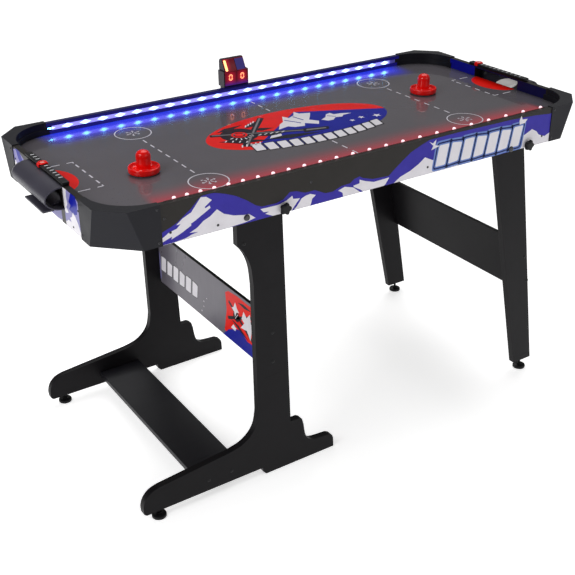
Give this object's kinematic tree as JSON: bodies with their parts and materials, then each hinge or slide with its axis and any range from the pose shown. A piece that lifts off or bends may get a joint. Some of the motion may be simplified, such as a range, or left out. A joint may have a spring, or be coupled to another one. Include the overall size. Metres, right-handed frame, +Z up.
{
  "type": "air hockey table",
  "caption": "Powered air hockey table on a tilting body: I-shaped legs at one end, folding straight legs at the other, lit rails, goal boxes, score bars and an electronic scorer",
  "frame": {"origin": "on the floor under the middle of the table's body", "axes": "+X along the length toward the folding straight legs, +Y across toward the electronic scorer, +Z up from the floor"},
  "size_m": [1.467, 0.6801, 0.876],
  "materials": {
    "charcoal_plastic": "moulded charcoal plastic, fine texture, satin",
    "black_board": "black film-wrapped board, satin",
    "printed_board": "board with a printed ice-peak pattern, satin",
    "playfield": "glossy grey playing surface with printed lines and air holes",
    "air_box_board": "raw dark fibreboard",
    "red_gloss": "glossy red plastic",
    "light_red": "red light strip behind a clear cover",
    "light_blue": "blue light strip behind a clear cover",
    "lens": "dark red translucent display window",
    "steel_bolt": "black-finished steel",
    "felt": "grey felt",
    "puck": "white plastic",
    "black_plastic": "black plastic"
  },
  "bodies": {
    "stand": {"i_leg_near": "black_board", "i_leg_far": "black_board", "lower_board": "black_board", "printed_panel": "printed_board"},
    "table": {"playfield": "playfield", "air_box": "air_box_board", "apron_near": "printed_board", "apron_far": "printed_board", "apron_left": "printed_board", "apron_right": "printed_board", "corner_cap_left_near": "charcoal_plastic", "corner_cap_left_far": "charcoal_plastic", "corner_cap_right_near": "charcoal_plastic", "corner_cap_right_far": "charcoal_plastic", "light_strip_near": "light_red", "light_strip_far": "light_blue", "goal_box_left": "charcoal_plastic", "goal_box_right": "charcoal_plastic", "score_bar_left": "charcoal_plastic", "score_bar_right": "charcoal_plastic", "scoreboard_case": "charcoal_plastic", "scoreboard_lens": "lens", "blower_housing": "black_plastic", "power_inlet": "black_plastic", "switch_frame": "black_plastic", "cross_batten_left": "air_box_board", "cross_batten_right": "air_box_board", "pivot_bolt_near": "steel_bolt", "pivot_bolt_far": "steel_bolt", "hinge_bolt_near": "steel_bolt", "hinge_bolt_far": "steel_bolt"},
    "folding_legs": {"straight_leg_near": "black_board", "straight_leg_far": "black_board", "crossbar": "black_board"},
    "body_knob_near": {"body_lock_knob_near": "black_plastic"},
    "body_knob_far": {"body_lock_knob_far": "black_plastic"},
    "leg_knob_near": {"leg_lock_knob_near": "black_plastic"},
    "leg_knob_far": {"leg_lock_knob_far": "black_plastic"},
    "leveller_left_near": {"leveller_left_near": "black_plastic"},
    "leveller_left_far": {"leveller_left_far": "black_plastic"},
    "leveller_right_near": {"leveller_right_near": "black_plastic"},
    "leveller_right_far": {"leveller_right_far": "black_plastic"},
    "slider_left": {"score_slider_left": "red_gloss"},
    "slider_right": {"score_slider_right": "red_gloss"},
    "reset_button": {"scoreboard_button": "red_gloss"},
    "impeller": {"blower_impeller": "black_plastic"},
    "rocker": {"switch_rocker": "red_gloss"},
    "pusher_left": {"pusher_left": "red_gloss", "pusher_felt_left": "felt"},
    "pusher_right": {"pusher_right": "red_gloss", "pusher_felt_right": "felt"},
    "puck": {"puck": "puck"}
  },
  "joints": [
    {"name": "body_tilt", "type": "hinge", "parent": "stand", "child": "table", "pos_m": [-0.357, 0, 0.724], "axis": [0, -1, 0], "range_deg": [0, 90]},
    {"name": "legs_fold", "type": "hinge", "parent": "table", "child": "folding_legs", "pos_m": [0.425, 0, 0.7175], "axis": [0, 1, 0], "range_deg": [0, 76]},
    {"name": "body_knob_near_turn", "type": "hinge", "parent": "table", "child": "body_knob_near", "pos_m": [-0.262, -0.3181, 0.724], "axis": [0, -1, 0], "continuous": true},
    {"name": "body_knob_far_turn", "type": "hinge", "parent": "table", "child": "body_knob_far", "pos_m": [-0.262, 0.3181, 0.724], "axis": [0, 1, 0], "continuous": true},
    {"name": "leg_knob_near_turn", "type": "hinge", "parent": "table", "child": "leg_knob_near", "pos_m": [0.482, -0.3181, 0.7185], "axis": [0, -1, 0], "continuous": true},
    {"name": "leg_knob_far_turn", "type": "hinge", "parent": "table", "child": "leg_knob_far", "pos_m": [0.482, 0.3181, 0.7185], "axis": [0, 1, 0], "continuous": true},
    {"name": "leveller_left_near_turn", "type": "hinge", "parent": "stand", "child": "leveller_left_near", "pos_m": [-0.608, -0.292, 0], "axis": [0, 0, 1], "continuous": true},
    {"name": "leveller_left_far_turn", "type": "hinge", "parent": "stand", "child": "leveller_left_far", "pos_m": [-0.608, 0.292, 0], "axis": [0, 0, 1], "continuous": true},
    {"name": "leveller_right_near_turn", "type": "hinge", "parent": "folding_legs", "child": "leveller_right_near", "pos_m": [0.578, -0.292, 0], "axis": [0, 0, 1], "continuous": true},
    {"name": "leveller_right_far_turn", "type": "hinge", "parent": "folding_legs", "child": "leveller_right_far", "pos_m": [0.578, 0.292, 0], "axis": [0, 0, 1], "continuous": true},
    {"name": "slider_left_slide", "type": "slide", "parent": "table", "child": "slider_left", "axis": [0, 1, 0], "range_m": [-0.124, 0.079]},
    {"name": "slider_right_slide", "type": "slide", "parent": "table", "child": "slider_right", "axis": [0, 1, 0], "range_m": [-0.181, 0.022]},
    {"name": "reset_button_press", "type": "slide", "parent": "table", "child": "reset_button", "axis": [0, -1, 0], "range_m": [0, 0.0025], "stiffness_N_per_m": 300},
    {"name": "impeller_spin", "type": "hinge", "parent": "table", "child": "impeller", "pos_m": [-0.14, 0.085, 0.7143], "axis": [0, 0, 1], "continuous": true},
    {"name": "rocker_tip", "type": "hinge", "parent": "table", "child": "rocker", "pos_m": [0.6876, 0.15, 0.7355], "axis": [0, 0, 1], "range_deg": [0, 14]},
    {"name": "pusher_left_slide", "type": "slide", "parent": "table", "child": "pusher_left", "axis": [0, 1, 0], "range_m": [-0.195, 0.325]},
    {"name": "pusher_right_slide", "type": "slide", "parent": "table", "child": "pusher_right", "axis": [0, 1, 0], "range_m": [-0.3, 0.215]},
    {"name": "puck_slide", "type": "slide", "parent": "table", "child": "puck", "axis": [0, 1, 0], "range_m": [-0.0315, 0.0715]}
  ]
}
